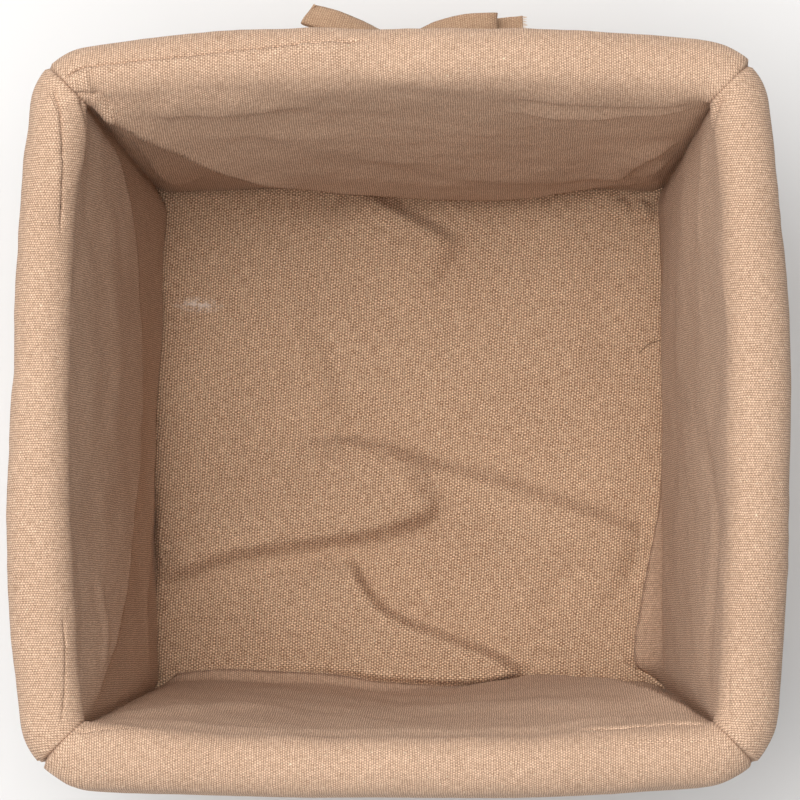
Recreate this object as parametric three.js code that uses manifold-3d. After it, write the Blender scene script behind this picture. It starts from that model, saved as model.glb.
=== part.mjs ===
// A fabric storage bin: a canvas shell over stiff boards with a padded wire rim, and a loose cloth liner
// that folds over the rim as a cuff, drawn in by a ribbon that is tied in a bow at the front.
// Millimetres, +Z up. The origin is the middle of the underside, and the bow is on the -Y side.
import * as THREE from 'three';
import { mergeVertices } from 'three/addons/utils/BufferGeometryUtils.js';
import Module from 'manifold-3d';

const wasm = await Module();
wasm.setup();

const { clamp, degToRad, lerp } = THREE.MathUtils;

// ---- Driving dimensions ----
const GAP = 0.3; // left between pieces that touch
const OVERALL_HEIGHT = 250;
const DEPTH_SHARE = 0.9875; // the bin's depth as a share of its width

// The middle of the wall, in plan: where the corner arcs are centred, their radius, and the slope in
// degrees of the bowed side where it meets the arc.
const RIM_OUTLINE = { corner: 125.9, radius: 16, bow: 5.5 };
const BASE_OUTLINE = { corner: 110.8, radius: 14, bow: 2.5 };

const CANVAS = 1.2; // shell cloth thickness
const BOARD = 2.5;
const LINER_CLOTH = 1.0;
const RIBBON = 0.6;
const RIBBON_WIDTH = 10;

const WIRE_RADIUS = 2;
const FOAM_RADIUS = 8.6;
const COVER_RADIUS = 9.7; // middle of the canvas round the rim's foam
const LINER_RADIUS = 11.2; // middle of the liner cloth over the rim

const CUFF_OFFSET = 13.3; // middle of the hanging cuff, outside the wall's middle
const CUFF_FLARE_HEIGHT = 205; // below this the cuff hangs straight
const HEM_HEIGHT = 167; // where the hem begins to turn up
const HEM_TOP = 186;
const HEM_RADIUS = 1.1;
const LINER_FOOT_OFFSET = -8.3; // the liner's wall where it meets its floor

const BINDING = 0.8;
const BINDING_REACH = 0.22; // how far a corner binding runs each side of the corner, in station units
const BINDING_BOTTOM = 0.4;
const BINDING_HEIGHT = 9;

const BUTTONHOLE = { inner: 9.5, outer: 20, height: 11.5 };
const KNOT = { width: 11, depth: 7, height: 14 };
const BOW_TILT = 38; // degrees that the bow's loops lean outward

// ---- Sizes that follow ----
const ROLL_HEIGHT = OVERALL_HEIGHT - LINER_RADIUS - LINER_CLOTH / 2;
const COVER_OFFSET = BOARD / 2 + GAP + CANVAS / 2;
const COVER_OUTSIDE = COVER_OFFSET + CANVAS / 2;
const ROLL_OUTSIDE = COVER_RADIUS + CANVAS / 2;
const BASE_INSIDE = -COVER_OUTSIDE - GAP;
const BASE_BOARD_BOTTOM = CANVAS + GAP;
const BASE_LINING_BOTTOM = BASE_BOARD_BOTTOM + BOARD + GAP;
const LINER_FLOOR_BOTTOM = BASE_LINING_BOTTOM + CANVAS + GAP;
const LINER_WALL_BOTTOM = LINER_FLOOR_BOTTOM + LINER_CLOTH + GAP;
const RIBBON_MIDDLE = (HEM_HEIGHT + HEM_TOP) / 2;
const RIBBON_OFFSET = CUFF_OFFSET - HEM_RADIUS;
const RIBBON_FRONT_OFFSET = CUFF_OFFSET + LINER_CLOTH / 2 + GAP + RIBBON;

// Along each side, stations run from -1 to 1: the bowed part is the middle share, the corner arcs the rest.
const SIDE_SHARE = 0.6;
const SIDE_STEPS = 6;
const CORNER_STEPS = 2;
const WALL_STEPS = 5;
const SIDES = ['front', 'left', 'back', 'right'];

// ---- Materials ----
const cloth = (color) => new THREE.MeshStandardMaterial({ color, roughness: 0.9, metalness: 0 });
const linerCloth = cloth(0xc9a587);
const shellCanvas = cloth(0xbd9878);
const ribbonCloth = cloth(0xb8967a);
const bindingCloth = cloth(0xa98363);
const board = new THREE.MeshStandardMaterial({ color: 0x9c9184, roughness: 0.8, metalness: 0 });
const foam = new THREE.MeshStandardMaterial({ color: 0xe8e2d2, roughness: 1, metalness: 0 });
const wire = new THREE.MeshStandardMaterial({ color: 0x8a8d90, roughness: 0.4, metalness: 1 });

const bin = new THREE.Group();

function add(name, geometry, material) {
  const mesh = new THREE.Mesh(geometry, material);
  mesh.name = name;
  bin.add(mesh);
  return mesh;
}

// ---- The bin's outline ----

// The wall leans out from the base to the rim. What hangs outside the rim's roll drops straight down.
function outlineAt(offset, height) {
  const share = offset > ROLL_OUTSIDE + GAP / 2 ? 1 : clamp(height / ROLL_HEIGHT, 0, 1);
  return {
    corner: lerp(BASE_OUTLINE.corner, RIM_OUTLINE.corner, share),
    radius: lerp(BASE_OUTLINE.radius, RIM_OUTLINE.radius, share) + offset,
    bow: degToRad(lerp(BASE_OUTLINE.bow, RIM_OUTLINE.bow, share)),
  };
}

// How far a point is along a side from its middle, and out from the bin's middle.
function sidePoint(at, offset, height) {
  const { corner, radius, bow } = outlineAt(offset, height);
  const reach = corner + radius * Math.sin(bow);
  const share = Math.abs(at) / SIDE_SHARE;
  if (share <= 1) {
    const along = reach * share;
    const rise = (Math.tan(bow) * (reach - (along * along) / reach)) / 2;
    return { along: Math.sign(at) * along, out: corner + radius * Math.cos(bow) + rise };
  }
  const angle = lerp(bow, Math.PI / 4, (Math.abs(at) - SIDE_SHARE) / (1 - SIDE_SHARE));
  return {
    along: Math.sign(at) * (corner + radius * Math.sin(angle)),
    out: corner + radius * Math.cos(angle),
  };
}

// A station is { side, at, mitre, shift }: a mitred end stops short of its neighbour, and a shift moves
// the section outward there.
function outlinePoint({ side, at, mitre = 0, shift = 0 }, offset, height) {
  const { along, out } = sidePoint(at, offset + shift, height);
  const trimmed = clamp(along, mitre - out, out - mitre);
  const turn = (side * Math.PI) / 2;
  const x = -trimmed * Math.cos(turn) - out * Math.sin(turn);
  const y = trimmed * Math.sin(turn) - out * Math.cos(turn);
  return new THREE.Vector3(x, y * DEPTH_SHARE, height);
}

function stationsAlong(side, from, to, steps, mitre = 0) {
  return Array.from({ length: steps + 1 }, (_, i) => ({ side, at: lerp(from, to, i / steps), mitre }));
}

function panelStations(side, mitre) {
  return [
    ...stationsAlong(side, -1, -SIDE_SHARE, CORNER_STEPS, mitre),
    ...stationsAlong(side, -SIDE_SHARE, SIDE_SHARE, SIDE_STEPS, mitre).slice(1, -1),
    ...stationsAlong(side, SIDE_SHARE, 1, CORNER_STEPS, mitre),
  ];
}

function ringStations() {
  return [...SIDES.flatMap((_, side) => panelStations(side).slice(0, -1)), { side: 0, at: -1 }];
}

// ---- Sections and sweeps ----

// The outline of a strip of the given thickness whose middle follows the points.
function stripSection(points, thickness) {
  const edges = points.slice(1).map((point, i) => point.clone().sub(points[i]).normalize());
  const shifts = points.map((_, i) => {
    const before = edges[Math.max(i - 1, 0)];
    const after = edges[Math.min(i, edges.length - 1)];
    const along = before.clone().add(after).normalize();
    return new THREE.Vector2(-along.y, along.x).multiplyScalar(thickness / 2 / along.dot(after));
  });
  const left = points.map((point, i) => point.clone().add(shifts[i]));
  const right = points.map((point, i) => point.clone().sub(shifts[i]));
  return new THREE.Shape([...left, ...right.reverse()]);
}

function wallPoints(bottom, top, steps = WALL_STEPS) {
  return Array.from({ length: steps + 1 }, (_, i) => bottom.clone().lerp(top, i / steps));
}

function blockSection(fromOffset, toOffset, bottom, top, steps = 1) {
  const outer = wallPoints(new THREE.Vector2(toOffset, bottom), new THREE.Vector2(toOffset, top), steps);
  const inner = wallPoints(new THREE.Vector2(fromOffset, top), new THREE.Vector2(fromOffset, bottom), steps);
  return new THREE.Shape([...outer, ...inner]);
}

function arcPoints(x, y, radius, fromDegrees, toDegrees, steps) {
  return Array.from({ length: steps + 1 }, (_, i) => {
    const angle = degToRad(lerp(fromDegrees, toDegrees, i / steps));
    return new THREE.Vector2(x + radius * Math.cos(angle), y + radius * Math.sin(angle));
  });
}

// Extrudes a section, then bends it round the outline: the section's x is the offset outside the wall's
// middle and its y the height. A closed sweep ends where it began, so it keeps no lids.
function sweep(section, stations, closed = false) {
  const steps = stations.length - 1;
  const options = { depth: steps, steps, bevelEnabled: false, curveSegments: 5 };
  const extruded = new THREE.ExtrudeGeometry(section, options);
  const position = extruded.getAttribute('position');
  const { start, count } = closed ? extruded.groups[1] : { start: 0, count: position.count };
  const points = [];
  for (let i = start; i < start + count; i++) {
    const station = stations[Math.round(position.getZ(i))];
    points.push(outlinePoint(station, position.getX(i), position.getY(i)));
  }
  const geometry = new THREE.BufferGeometry().setFromPoints(points);
  geometry.computeVertexNormals();
  return geometry;
}

function plate(offset, bottom, thickness) {
  const corners = ringStations().slice(0, -1).map((station) => outlinePoint(station, offset, bottom));
  const shape = new THREE.Shape(corners.map(({ x, y }) => new THREE.Vector2(x, y)));
  return new THREE.ExtrudeGeometry(shape, { depth: thickness, bevelEnabled: false }).translate(0, 0, bottom);
}

// ---- Cutting ----

function solid(geometry) {
  const bare = geometry.clone();
  bare.deleteAttribute('normal');
  bare.deleteAttribute('uv');
  const merged = mergeVertices(bare, 1e-3);
  const vertProperties = new Float32Array(merged.getAttribute('position').array);
  const triVerts = new Uint32Array(merged.index.array);
  return new wasm.Manifold(new wasm.Mesh({ numProp: 3, vertProperties, triVerts }));
}

function cut(geometry, ...tools) {
  const left = tools.reduce((body, tool) => body.subtract(solid(tool)), solid(geometry)).getMesh();
  const result = new THREE.BufferGeometry();
  result.setAttribute('position', new THREE.BufferAttribute(left.vertProperties, 3));
  result.setIndex(new THREE.BufferAttribute(left.triVerts, 1));
  result.computeVertexNormals();
  return result;
}

// ---- The shell ----

// Canvas up the outside of the wall, round the rim's roll and down the inside, open along the base.
function coverSection() {
  const neck = THREE.MathUtils.radToDeg(Math.asin(COVER_OFFSET / COVER_RADIUS));
  const roll = arcPoints(0, ROLL_HEIGHT, COVER_RADIUS, neck - 90, 270 - neck, 14);
  const outside = wallPoints(new THREE.Vector2(COVER_OFFSET, CANVAS + GAP), roll[0]);
  const inside = wallPoints(roll.at(-1), new THREE.Vector2(-COVER_OFFSET, CANVAS + GAP));
  return stripSection([...outside, ...roll.slice(1, -1), ...inside], CANVAS);
}

function foamSection() {
  const section = new THREE.Shape().absarc(0, ROLL_HEIGHT, FOAM_RADIUS, 0, 2 * Math.PI);
  section.holes.push(new THREE.Path().absarc(0, ROLL_HEIGHT, WIRE_RADIUS + GAP, 0, 2 * Math.PI));
  return section;
}

function addShellSide(name, side) {
  const stations = panelStations(side, GAP);
  const boardTop = ROLL_HEIGHT - FOAM_RADIUS - GAP;
  const boardSection = blockSection(-BOARD / 2, BOARD / 2, BASE_BOARD_BOTTOM + GAP, boardTop, WALL_STEPS);
  const boardStations = stationsAlong(side, -SIDE_SHARE, SIDE_SHARE, SIDE_STEPS);
  add(`shell_cover_${name}`, sweep(coverSection(), stations), shellCanvas);
  add(`side_board_${name}`, sweep(boardSection, boardStations), board);
  add(`rim_foam_${name}`, sweep(foamSection(), stations), foam);
}

function addCornerBinding(side) {
  const next = (side + 1) % SIDES.length;
  const stations = [
    ...stationsAlong(side, 1 - BINDING_REACH, 1, 2),
    ...stationsAlong(next, -1, BINDING_REACH - 1, 2).slice(1),
  ];
  const inside = COVER_OUTSIDE + GAP;
  const top = ROLL_HEIGHT - ROLL_OUTSIDE - GAP;
  const section = blockSection(inside, inside + BINDING, BINDING_HEIGHT + GAP, top, WALL_STEPS);
  add(`corner_binding_${SIDES[side]}_${SIDES[next]}`, sweep(section, stations), bindingCloth);
}

function addRimWire() {
  const section = new THREE.Shape().absarc(0, ROLL_HEIGHT, WIRE_RADIUS, 0, 2 * Math.PI);
  add('rim_wire', sweep(section, ringStations(), true), wire);
}

function addBase() {
  const inside = COVER_OUTSIDE + GAP;
  const bindingSection = blockSection(inside, inside + BINDING, BINDING_BOTTOM, BINDING_HEIGHT);
  add('base_cover', plate(COVER_OUTSIDE, 0, CANVAS), shellCanvas);
  add('base_board', plate(BASE_INSIDE, BASE_BOARD_BOTTOM, BOARD), board);
  add('base_lining', plate(BASE_INSIDE, BASE_LINING_BOTTOM, CANVAS), shellCanvas);
  add('base_binding', sweep(bindingSection, ringStations(), true), bindingCloth);
}

// ---- The liner ----

// Cloth up the inside, over the rim and down the outside to a hem that turns up to hold the ribbon.
function linerSection() {
  const overRim = arcPoints(0, ROLL_HEIGHT, LINER_RADIUS, 180, 0, 8);
  return stripSection([
    ...wallPoints(new THREE.Vector2(LINER_FOOT_OFFSET, LINER_WALL_BOTTOM), overRim[0]),
    ...overRim.slice(1),
    new THREE.Vector2(CUFF_OFFSET, CUFF_FLARE_HEIGHT),
    ...arcPoints(RIBBON_OFFSET, HEM_HEIGHT, HEM_RADIUS, 0, -180, 4),
    new THREE.Vector2(RIBBON_OFFSET - HEM_RADIUS, HEM_TOP),
  ], LINER_CLOTH);
}

function frontAt(offset) {
  return outlinePoint({ side: 0, at: 0 }, offset, ROLL_HEIGHT).y;
}

// The hole in the front cuff where the ribbon comes out of the hem, on the side of the bow that `hand` says.
function buttonhole(hand) {
  const inside = frontAt(RIBBON_OFFSET);
  const outside = frontAt(RIBBON_FRONT_OFFSET + RIBBON);
  const width = BUTTONHOLE.outer - BUTTONHOLE.inner;
  const middle = (hand * (BUTTONHOLE.outer + BUTTONHOLE.inner)) / 2;
  const hole = new THREE.BoxGeometry(width, inside - outside, BUTTONHOLE.height);
  return hole.translate(middle, (inside + outside) / 2, RIBBON_MIDDLE);
}

function addLiner() {
  SIDES.forEach((name, side) => {
    const panel = sweep(linerSection(), panelStations(side, GAP));
    const shape = name === 'front' ? cut(panel, buttonhole(-1), buttonhole(1)) : panel;
    add(`liner_panel_${name}`, shape, linerCloth);
  });
  const edge = LINER_FOOT_OFFSET + LINER_CLOTH / 2;
  add('liner_floor', plate(edge, LINER_FLOOR_BOTTOM, LINER_CLOTH), linerCloth);
}

// ---- The ribbon ----

// From one buttonhole round the bin inside the hem to the other, each end coming out beside the knot.
function ribbonStations() {
  const reach = sidePoint(SIDE_SHARE, RIBBON_OFFSET, ROLL_HEIGHT).along;
  const stationAt = (along) => (along / reach) * SIDE_SHARE;
  const out = RIBBON_FRONT_OFFSET - RIBBON_OFFSET;
  const ends = [
    { at: stationAt(KNOT.width / 2 + GAP), shift: out },
    { at: stationAt(BUTTONHOLE.inner + GAP), shift: out },
    { at: stationAt(BUTTONHOLE.outer - 2 * GAP), shift: 0 },
  ];
  const leaving = ends.map(({ at, shift }) => ({ side: 0, at, shift }));
  const arriving = ends.map(({ at, shift }) => ({ side: 0, at: -at, shift })).reverse();
  const afterHole = ringStations().filter(({ side, at }) => side === 0 && at > ends[2].at);
  const beforeHole = ringStations().filter(({ side, at }) => side === 0 && at < -ends[2].at);
  const others = ringStations().filter(({ side }) => side !== 0);
  return [...leaving, ...afterHole, ...others, ...beforeHole.slice(0, -1), ...arriving];
}

function addDrawstring() {
  const half = RIBBON / 2;
  const bottom = RIBBON_MIDDLE - RIBBON_WIDTH / 2;
  const section = blockSection(RIBBON_OFFSET - half, RIBBON_OFFSET + half, bottom, bottom + RIBBON_WIDTH);
  add('drawstring_ribbon', sweep(section, ribbonStations()), ribbonCloth);
}

function addKnot() {
  const knot = new THREE.SphereGeometry(0.5, 12, 8).scale(KNOT.width, KNOT.depth, KNOT.height);
  const front = frontAt(RIBBON_FRONT_OFFSET - RIBBON / 2) - KNOT.depth / 2;
  add('bow_knot', knot, ribbonCloth).position.set(0, front, RIBBON_MIDDLE);
}

// A loop of ribbon beside the knot, seen from above as a drop whose two legs meet at the knot.
function addLoop(name, hand) {
  const start = KNOT.width / 2 + GAP;
  const middle = [[start, 2.4], [20, 4.6], [33, 4.4], [40, 0.6], [33, -2.6], [20, -2.2], [start, -0.6]];
  const points = middle.map(([x, out]) => new THREE.Vector2(hand * x, -out));
  const section = stripSection(new THREE.SplineCurve(points).getPoints(14), RIBBON);
  const loop = new THREE.ExtrudeGeometry(section, { depth: RIBBON_WIDTH, bevelEnabled: false });
  loop.translate(0, 0, -RIBBON_WIDTH / 2).rotateX(degToRad(-BOW_TILT));
  const front = frontAt(RIBBON_FRONT_OFFSET) - KNOT.depth;
  add(name, loop, ribbonCloth).position.set(0, front, RIBBON_MIDDLE);
}

// A tail of ribbon in front of the cuff, along a route of [x, height] from under the knot.
function addTail(name, route) {
  const points = route.map(([x, z]) => new THREE.Vector2(x, z));
  const section = stripSection(new THREE.SplineCurve(points).getPoints(10), RIBBON_WIDTH);
  const options = { depth: RIBBON, bevelEnabled: false };
  const tail = new THREE.ExtrudeGeometry(section, options).rotateX(Math.PI / 2);
  add(name, tail, ribbonCloth).position.set(0, frontAt(RIBBON_FRONT_OFFSET), RIBBON_MIDDLE - KNOT.height / 2);
}

SIDES.forEach(addShellSide);
SIDES.forEach((_, side) => addCornerBinding(side));
addRimWire();
addBase();
addLiner();
addDrawstring();
addKnot();
addLoop('bow_loop_right', 1);
addLoop('bow_loop_left', -1);
addTail('bow_tail_right', [[6, -1], [9, -22], [13, -45], [20, -68]]);
addTail('bow_tail_left', [[-6, -4.5], [-20, -4.5], [-36, -3], [-53, -1]]);

export default bin;
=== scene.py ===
"""Looks of a fabric storage bin: a loose cloth liner folded over the padded rim of a canvas shell, drawn in
by a ribbon that is tied in a bow. Metres, +Z up, the bow on the -Y side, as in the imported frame."""

import math

import bmesh
import bpy
import numpy as np
from mathutils import Matrix, Vector


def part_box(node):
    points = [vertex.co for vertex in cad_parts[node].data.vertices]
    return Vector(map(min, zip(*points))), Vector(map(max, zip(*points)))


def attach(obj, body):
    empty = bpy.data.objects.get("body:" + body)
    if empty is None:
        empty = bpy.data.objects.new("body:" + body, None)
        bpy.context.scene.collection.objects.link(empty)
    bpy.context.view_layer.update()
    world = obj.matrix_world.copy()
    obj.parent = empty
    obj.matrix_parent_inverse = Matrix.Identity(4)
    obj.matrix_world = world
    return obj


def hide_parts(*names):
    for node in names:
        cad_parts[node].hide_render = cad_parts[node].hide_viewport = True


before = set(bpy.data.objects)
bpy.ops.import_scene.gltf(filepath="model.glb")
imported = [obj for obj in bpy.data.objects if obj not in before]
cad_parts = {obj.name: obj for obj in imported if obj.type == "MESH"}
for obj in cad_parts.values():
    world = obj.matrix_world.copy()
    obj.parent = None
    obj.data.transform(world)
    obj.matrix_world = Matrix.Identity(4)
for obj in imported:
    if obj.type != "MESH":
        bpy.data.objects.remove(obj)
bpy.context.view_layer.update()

# ---- Sizes, from the frame ----
MM = 0.001
SIDES = ["front", "left", "back", "right"]
WIRE_LOW, WIRE_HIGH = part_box("rim_wire")
WIRE_RADIUS = (WIRE_HIGH.z - WIRE_LOW.z) / 2
DEPTH_SHARE = (WIRE_HIGH.y - WIRE_RADIUS) / (WIRE_HIGH.x - WIRE_RADIUS)
ROLL_HEIGHT = (WIRE_HIGH.z + WIRE_LOW.z) / 2
RIM_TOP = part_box("liner_panel_front")[1].z
LINER_FOOT_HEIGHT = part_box("liner_panel_front")[0].z
RIBBON_LOW, RIBBON_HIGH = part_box("drawstring_ribbon")
RIBBON_MIDDLE = (RIBBON_LOW.z + RIBBON_HIGH.z) / 2
RIBBON_WIDTH = RIBBON_HIGH.z - RIBBON_LOW.z

# The wall's middle in plan, at the rim and at the base: the corner arcs' centres and radius, and the slope
# of the bowed side where it meets the arc.
RIM_OUTLINE = {"corner": 125.9 * MM, "radius": 16 * MM, "bow": math.radians(5.5)}
BASE_OUTLINE = {"corner": 110.8 * MM, "radius": 14 * MM, "bow": math.radians(2.5)}
SIDE_SHARE = 0.88

LINER_CLOTH = 1.0 * MM
LINER_RADIUS = RIM_TOP - ROLL_HEIGHT - LINER_CLOTH / 2
LINER_FOOT_OFFSET = -8.3 * MM
CUFF_OFFSET = 13.3 * MM
HEM_HEIGHT = 167 * MM
HEM_TOP = 186 * MM
HEM_RADIUS = 1.1 * MM
CUFF_FLARE_HEIGHT = 205 * MM
MITRE_GROOVE = 1.1 * MM
# The two slits: from, to (on both sides of the middle) and height
BUTTONHOLE = (9.5 * MM, 20 * MM, 11.5 * MM)
KNOT = {"width": 11, "depth": 7, "height": 14}
RIBBON = 0.6 * MM
CANVAS = 1.2 * MM
COVER_OFFSET = 2.15 * MM
COVER_RADIUS = 9.7 * MM
COVER_FOOT = 1.5 * MM
FOAM_RADIUS = 8.6 * MM
WIRE_GAP = 0.35 * MM
TAPE = 0.8 * MM
TAPE_BOTTOM = 0.4 * MM
TAPE_TOP_OF_BASE = 9 * MM
BASE_INSIDE = -3.05 * MM
BASE_LINING_BOTTOM = 4.3 * MM
STITCH_STEP = 3.6 * MM
STITCH_LENGTH = 2.4 * MM
STITCH_RADIUS = 0.28 * MM

# Columns and rows of the grids. The rows before the cuff are the hem's inner ply and its fold.
COLUMNS = 160
WALL_ROWS = 120
CUFF_FIRST_ROW = 13
CUFF_ROWS = 30
COVER_OUTSIDE_ROWS = 69
STRIP_COLUMNS = 9


# ---- Small tools ----
def smooth(x):
    """0 to 1 with flat ends."""
    x = np.clip(x, 0, 1)
    return x * x * (3 - 2 * x)


def spline(points, count):
    """A smooth curve through given points (Catmull-Rom), as count points."""
    p = np.asarray(points, float)
    p = np.vstack([2 * p[0] - p[1], p, 2 * p[-1] - p[-2]])
    t = np.linspace(0, len(p) - 3, count)
    i = np.minimum(t.astype(int), len(p) - 4)
    f = (t - i)[:, None]
    a, b, c, d = p[i], p[i + 1], p[i + 2], p[i + 3]
    return 0.5 * (2 * b + (c - a) * f + (2 * a - 5 * b + 4 * c - d) * f**2 + (3 * b - a - 3 * c + d) * f**3)


def unit(vectors):
    """The same directions, at length 1."""
    return vectors / np.linalg.norm(vectors, axis=-1, keepdims=True)


def run_along(line):
    """The distance along a line of points, at each of them."""
    return np.concatenate([[0], np.cumsum(np.linalg.norm(np.diff(line, axis=0), axis=1))])


def wave_noise(x, y, size, seed, octaves=3):
    """Soft repeatable noise about 0, a sum of sine waves in random directions."""
    rng = np.random.default_rng(seed)
    total = np.zeros(np.broadcast(x, y).shape)
    for octave in range(octaves):
        for _ in range(5):
            angle, phase = rng.uniform(0, 2 * math.pi, 2)
            step = 2 * math.pi / (size / 2**octave * rng.uniform(0.7, 1.4))
            total += np.sin(step * (x * math.cos(angle) + y * math.sin(angle)) + phase) / 2**octave
    return total / 5


def crease(x, y, points, height, left, right, fade=0.25):
    """A fold along a curve: height on the curve, falling off within `left` and `right` of it on the two sides
    (as seen walking along it), and fading out at both ends. Its points and sizes are in mm."""
    curve = spline(np.array(points) * MM, 60)
    tangent = unit(np.gradient(curve, axis=0))
    near = np.argmin((x[..., None] - curve[:, 0]) ** 2 + (y[..., None] - curve[:, 1]) ** 2, axis=-1)
    dx = x - curve[near, 0]
    dy = y - curve[near, 1]
    side = tangent[near, 0] * dy - tangent[near, 1] * dx
    along = near / (len(curve) - 1)
    width = np.where(side > 0, left, right) * MM
    ends = smooth(along / fade) * smooth((1 - along) / fade)
    return height * MM * ends * np.exp(-(dx * dx + dy * dy) / width**2)


# ---- The bin's outline ----
def outline_at(offset, share):
    """Corner centre, corner radius and bow at an offset from the wall's middle, share of the way up."""
    corner, radius, bow = (base + (RIM_OUTLINE[key] - base) * share for key, base in BASE_OUTLINE.items())
    return corner, radius + offset, bow


def side_point(at, offset, share):
    """How far along a side, and how far out from the middle, at runs from -1 to 1 corner to corner."""
    corner, radius, bow = outline_at(offset, share)
    reach = corner + radius * np.sin(bow)
    along = reach * np.abs(at) / SIDE_SHARE
    bowed_out = corner + radius * np.cos(bow) + np.tan(bow) * (reach - along**2 / reach) / 2
    angle = bow + (math.pi / 4 - bow) * (np.abs(at) - SIDE_SHARE) / (1 - SIDE_SHARE)
    on_side = np.abs(at) <= SIDE_SHARE
    s = np.where(on_side, along, corner + radius * np.sin(angle))
    out = np.where(on_side, bowed_out, corner + radius * np.cos(angle))
    return np.sign(at) * s, out


def directions(side):
    """Unit vectors along a side and out of it."""
    turn = side * math.pi / 2
    along = np.array([-math.cos(turn), math.sin(turn), 0])
    out = np.array([-math.sin(turn), -math.cos(turn), 0])
    return along, out


def place(side, s, out, height):
    """Points in the part's frame from coordinates along, out of and up a side."""
    along_axis, out_axis = directions(side)
    points = s[..., None] * along_axis + out[..., None] * out_axis
    points[..., 1] *= DEPTH_SHARE
    points[..., 2] = height
    return points


# ---- Mesh building ----
def grid_faces(rows, columns):
    index = np.arange(rows * columns).reshape(rows, columns)
    a, b = index[:-1, :-1].ravel(), index[:-1, 1:].ravel()
    c, d = index[1:, 1:].ravel(), index[1:, :-1].ravel()
    return np.stack([a, b, c, d], 1)


def add_object(name, data):
    made = bpy.data.objects.new(name, data)
    bpy.context.scene.collection.objects.link(made)
    return made


def mesh_object(name, points, faces, material, uv=None):
    """A smooth mesh. uv is the flat cloth's two coordinates, in metres."""
    mesh = bpy.data.meshes.new(name)
    mesh.from_pydata(np.reshape(points, (-1, 3)).tolist(), [], faces)
    if uv is not None:
        layer = mesh.uv_layers.new(name="cloth")
        loops = np.zeros(len(mesh.loops), np.int32)
        mesh.loops.foreach_get("vertex_index", loops)
        uv = np.stack(np.broadcast_arrays(*uv), -1).reshape(-1, 2)
        layer.data.foreach_set("uv", uv[loops].astype(np.float32).ravel())
    mesh.polygons.foreach_set("use_smooth", np.ones(len(mesh.polygons), bool))
    mesh.materials.append(material)
    return add_object(name, mesh)


def thicken(piece, thickness):
    """Gives a sheet its thickness, half on each side."""
    solidify = piece.modifiers.new("cloth", "SOLIDIFY")
    solidify.thickness = thickness
    solidify.offset = 0
    solidify.use_rim = True
    bpy.context.view_layer.objects.active = piece
    with bpy.context.temp_override(object=piece, active_object=piece):
        bpy.ops.object.modifier_apply(modifier=solidify.name)


def weld(piece):
    work = bmesh.new()
    work.from_mesh(piece.data)
    bmesh.ops.remove_doubles(work, verts=work.verts, dist=0.01 * MM)
    bmesh.ops.recalc_face_normals(work, faces=work.faces)
    work.to_mesh(piece.data)
    work.free()


def grid_piece(name, points, uv, material, rides, stands_for, thickness=None, closed=False, faces=None):
    """A piece made from a grid of points. A closed one is welded where its edges meet."""
    faces = grid_faces(*points.shape[:2]) if faces is None else faces
    piece = mesh_object(name, points, faces.tolist(), material, uv)
    if closed:
        weld(piece)
    if thickness:
        thicken(piece, thickness)
    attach(piece, rides)
    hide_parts(stands_for)
    return piece


# ---- Materials ----
class Nodes:
    """Short forms for building a material's node tree."""

    def __init__(self, material):
        material.use_nodes = True
        self.tree = material.node_tree
        self.shader = self.tree.nodes["Principled BSDF"]

    def node(self, kind, **values):
        made = self.tree.nodes.new(kind)
        for name, value in values.items():
            setattr(made, name, value)
        return made

    def link(self, source, target):
        if isinstance(source, bpy.types.NodeSocket):
            self.tree.links.new(source, target)
        else:
            target.default_value = source

    def result(self, kind, *inputs, **values):
        """The first output of a new node, with its first inputs linked or set."""
        made = self.node(kind, **values)
        for source, target in zip(inputs, made.inputs):
            self.link(source, target)
        return made.outputs[0]

    def math(self, operation, *inputs):
        return self.result("ShaderNodeMath", *inputs, operation=operation)

    def noise(self, vector, scale, detail=2.0, roughness=0.5):
        made = self.node("ShaderNodeTexNoise")
        values = {"Vector": vector, "Scale": scale, "Detail": detail, "Roughness": roughness}
        for name, value in values.items():
            self.link(value, made.inputs[name])
        return made.outputs["Fac"]

    def plus(self, a, b):
        return self.math("ADD", a, b)

    def times(self, a, b):
        return self.math("MULTIPLY", a, b)

    def choose(self, share, a, b):
        """a where share is 1, b where it is 0."""
        return self.plus(self.times(a, share), self.times(b, self.math("SUBTRACT", 1.0, share)))

    def combine(self, x, y, z=0.0):
        return self.result("ShaderNodeCombineXYZ", x, y, z)

    def remap(self, value, low, high, to_low=0.0, to_high=1.0):
        return self.result("ShaderNodeMapRange", value, low, high, to_low, to_high)

    def mix(self, share, a, b):
        made = self.node("ShaderNodeMix", data_type="RGBA")
        self.link(share, made.inputs["Factor"])
        self.link(a, made.inputs[6])
        self.link(b, made.inputs[7])
        return made.outputs[2]

    def finish(self, relief, strength, depth, values):
        """Sets the shader's inputs, and a bump map that follows relief."""
        for name, value in values.items():
            self.link(value, self.shader.inputs[name])
        bump = self.node("ShaderNodeBump")
        bump.inputs["Strength"].default_value = strength
        bump.inputs["Distance"].default_value = depth
        self.link(relief, bump.inputs["Height"])
        self.link(bump.outputs[0], self.shader.inputs["Normal"])


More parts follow.
